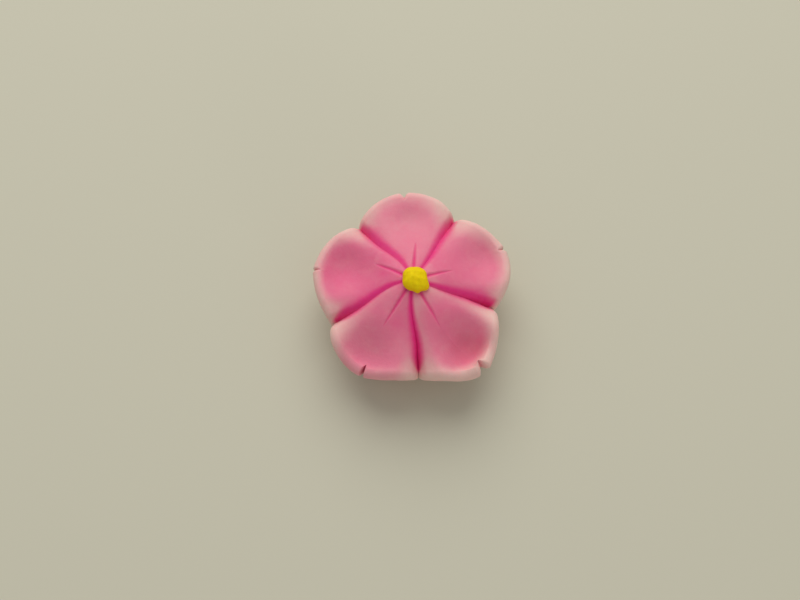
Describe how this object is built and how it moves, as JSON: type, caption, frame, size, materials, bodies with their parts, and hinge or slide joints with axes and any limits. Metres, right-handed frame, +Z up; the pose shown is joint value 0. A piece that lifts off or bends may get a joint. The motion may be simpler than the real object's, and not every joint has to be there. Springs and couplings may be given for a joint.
{
  "type": "cherry blossom bean paste sweet",
  "caption": "Domed pink bean-paste sweet worked into a blossom of rounded, hollowed petals with creased joints, nicked tips and a small yellow centre.",
  "frame": {"origin": "middle of the blossom's outline, on the flat base that it rests on", "axes": "+Z up, -Y towards the front of the blossom, where one groove runs towards the viewer, +X to its right"},
  "size_m": [0.0498, 0.0494, 0.026],
  "materials": {
    "pink_paste": "moist matte bean paste, deep pink in the creases fading to pale pink at the petals' lips",
    "yellow_paste": "matte, slightly grainy bean paste"
  },
  "bodies": {
    "root": {"paste_blossom": "pink_paste", "yellow_centre": "yellow_paste"}
  },
  "joints": []
}
